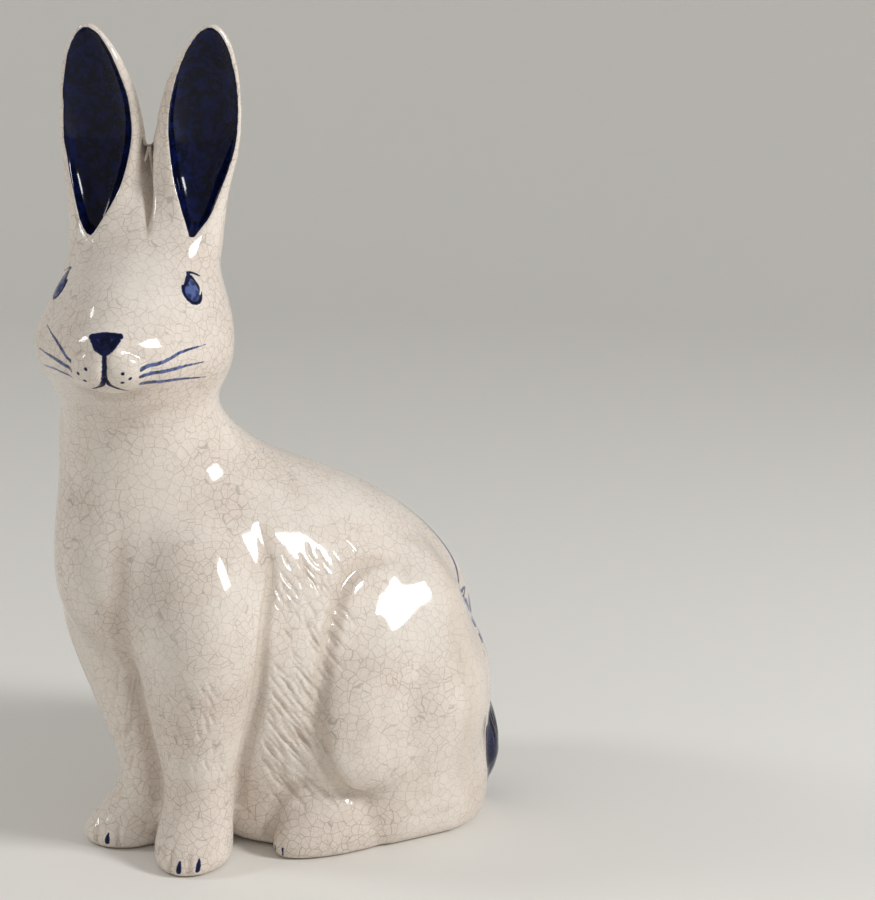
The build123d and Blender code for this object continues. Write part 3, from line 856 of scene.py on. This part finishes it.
def glazed_earthenware(name):
    """Cast earthenware under a thick clear glaze. The glaze shrank more than the clay, so it is crazed
    all over in cells of 4 to 8 mm with stain in the cracks. Cobalt was brushed on under it, thin at
    the ends of a stroke, and it bleeds a little into the white. Thick navy dulls the glaze above it.
    The foot was wiped clean, so the last millimetre is bare."""
    material, tree, surface = plain_material(name)
    place = add(tree, PLACE)
    cloud = add(tree, NOISE, place, None, per_metre(CLOUD), 3.0)
    mottle = add(tree, NOISE, place, None, per_metre(MOTTLE), 4.0)
    tone = add(tree, FADE, cloud, 0.35, 0.65)
    ivory = add(tree, MIX, tone, *BETWEEN, srgb("EAE1D7"), srgb("E2D6CB"))
    warm = add(tree, FADE, mottle, 0.72, 0.5, 0.3, 0.0)
    ivory = add(tree, MIX, warm, *BETWEEN, ivory, srgb("D6C6B8"))
    # The colour is made darker where the relief sinks into grooves
    scored = add(tree, ("ShaderNodeAttribute", 2, {"attribute_name": "scored"}))
    darker_where_sunk = add(tree, FADE, scored, -1.2, -0.2, 0.35, 0.0)
    ivory = add(tree, MIX, darker_where_sunk, *BETWEEN, ivory, srgb("BDAC9B"))
    colour = add(tree, MIX, crazed(tree, place, cloud), *BETWEEN, ivory, srgb("857A70"))
    colour, navy = brushed(tree, place, colour)
    bare = add(tree, FADE, add(tree, HEIGHT, place), 0.8 * MM, 1.6 * MM, 1.0, 0.0)
    colour = add(tree, MIX, bare, *BETWEEN, colour, srgb("C9B49A"))
    tree.links.new(colour, surface.inputs["Base Color"])
    tree.links.new(add(tree, FADE, bare, 0.0, 1.0, 0.09, 0.8), surface.inputs["Roughness"])
    tree.links.new(add(tree, FADE, navy, 0.0, 1.0, 0.5, 0.2), surface.inputs["Specular IOR Level"])
    surface.inputs["IOR"].default_value = 1.52
    ripple = add(tree, NOISE, place, None, per_metre(RIPPLE), 2.0)
    bump = add(tree, BUMP, Strength=0.12, Distance=0.4 * MM, Height=ripple)
    tree.links.new(bump, surface.inputs["Normal"])
    return material


GRIT, STAIN = 0.9, 20


def bare_clay(name):
    """Fired clay without glaze, as pressed from the mould: matt, buff and slightly gritty"""
    material, tree, surface = plain_material(name)
    place = add(tree, PLACE)
    grit = add(tree, NOISE, place, None, per_metre(GRIT), 4.0)
    stain = add(tree, NOISE, place, None, per_metre(STAIN), 2.0)
    tone = add(tree, FADE, stain, 0.35, 0.65)
    colour = add(tree, MIX, tone, *BETWEEN, srgb("CBB89F"), srgb("BDA88C"))
    speck = add(tree, FADE, grit, 0.75, 0.6, 0.5, 0.0)
    colour = add(tree, MIX, speck, *BETWEEN, colour, srgb("8F7B63"))
    tree.links.new(colour, surface.inputs["Base Color"])
    surface.inputs["Roughness"].default_value = 0.85
    bump = add(tree, BUMP, Strength=0.35, Distance=0.2 * MM, Height=grit)
    tree.links.new(bump, surface.inputs["Normal"])
    return material


def seamless_paper(name):
    """Wide studio paper, pale grey and matt"""
    material, _, surface = plain_material(name)
    surface.inputs["Base Color"].default_value = srgb("EDEBE6")
    surface.inputs["Roughness"].default_value = 0.9
    return material


glaze = glazed_earthenware("crackle glazed earthenware")
for piece in pieces:
    piece.data.materials.append(glaze)
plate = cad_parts[PLATE]
plate.data.materials.clear()
plate.data.materials.append(bare_clay("bare fired clay"))


# Floor, light and camera, in metres
def backdrop(radius, bend, height, segments):
    """A floor that curves up into a round wall"""
    profile = [(0.0, 0.0), (radius * 0.3, 0.0), (radius - bend, 0.0)]
    steps = 12
    for i in range(1, steps + 1):
        a = i / steps * math.pi / 2
        profile.append((radius - bend + bend * math.sin(a), bend * (1 - math.cos(a))))
    profile.append((radius, height))
    corners = [(0.0, 0.0, 0.0)]
    for r, z in profile[1:]:
        for k in range(segments):
            a = k * 2 * math.pi / segments
            corners.append((r * math.cos(a), r * math.sin(a), z))
    faces = [(0, 1 + k, 1 + (k + 1) % segments) for k in range(segments)]
    for level in range(len(profile) - 2):
        for k in range(segments):
            a = 1 + level * segments + k
            b = 1 + level * segments + (k + 1) % segments
            faces.append((a, a + segments, b + segments, b))
    mesh = bpy.data.meshes.new("backdrop")
    mesh.from_pydata(corners, [], faces)
    mesh.shade_smooth()
    wall = bpy.data.objects.new("backdrop", mesh)
    scene.collection.objects.link(wall)
    return wall


floor = backdrop(radius=3.2, bend=1.4, height=2.6, segments=96)
floor.data.materials.append(seamless_paper("seamless paper"))


AIM = (0, 0, 0.25)


def softbox(name, place, size, watts):
    """A square soft box that is aimed at the rabbit's middle"""
    light = bpy.data.lights.new(name, "AREA")
    light.shape = "SQUARE"
    light.size = size
    light.energy = watts
    holder = bpy.data.objects.new(name, light)
    scene.collection.objects.link(holder)
    holder.location = place
    holder.rotation_euler = (Vector(AIM) - Vector(place)).to_track_quat("-Z", "Y").to_euler()


softbox("key_softbox", place=(1.57, 1.14, 1.28), size=0.48, watts=30)
softbox("fill_softbox", place=(-0.81, -1.58, 1.44), size=0.5, watts=9)
world = bpy.data.worlds.new("studio")
scene.world = world
world.use_nodes = True
daylight = world.node_tree.nodes["Background"]
daylight.inputs["Color"].default_value = srgb("DEDEDF")
daylight.inputs["Strength"].default_value = 0.47

# The photograph's camera: azimuth 62, 13 degrees up, 1.255 m from the middle of the rabbit
AZIMUTH, ELEVATION, DISTANCE = 62, math.radians(13), 1.255
PHOTO_WIDE, PHOTO_HIGH = 875, 900
FOCAL_PIXELS = 2124  # focal length in pixels of the photograph
MIDDLE_ACROSS, MIDDLE_DOWN = 308.5, 433.2  # where the rabbit's middle falls in the photograph
SENSOR = 36
camera = bpy.data.cameras.new("camera")
camera.sensor_width = SENSOR
camera.lens = SENSOR * FOCAL_PIXELS / PHOTO_HIGH
camera.shift_x = (PHOTO_WIDE / 2 - MIDDLE_ACROSS) / PHOTO_HIGH
camera.shift_y = -(PHOTO_HIGH / 2 - MIDDLE_DOWN) / PHOTO_HIGH
viewer = bpy.data.objects.new("camera", camera)
scene.collection.objects.link(viewer)
middle = Vector((0, 0, 0.24))
level = Vector(facing(AZIMUTH)[0])
viewer.location = middle + DISTANCE * (level * math.cos(ELEVATION) + Vector((0, 0, math.sin(ELEVATION))))
viewer.rotation_euler = (middle - viewer.location).to_track_quat("-Z", "Y").to_euler()
scene.camera = viewer
scene.view_settings.view_transform = "Standard"
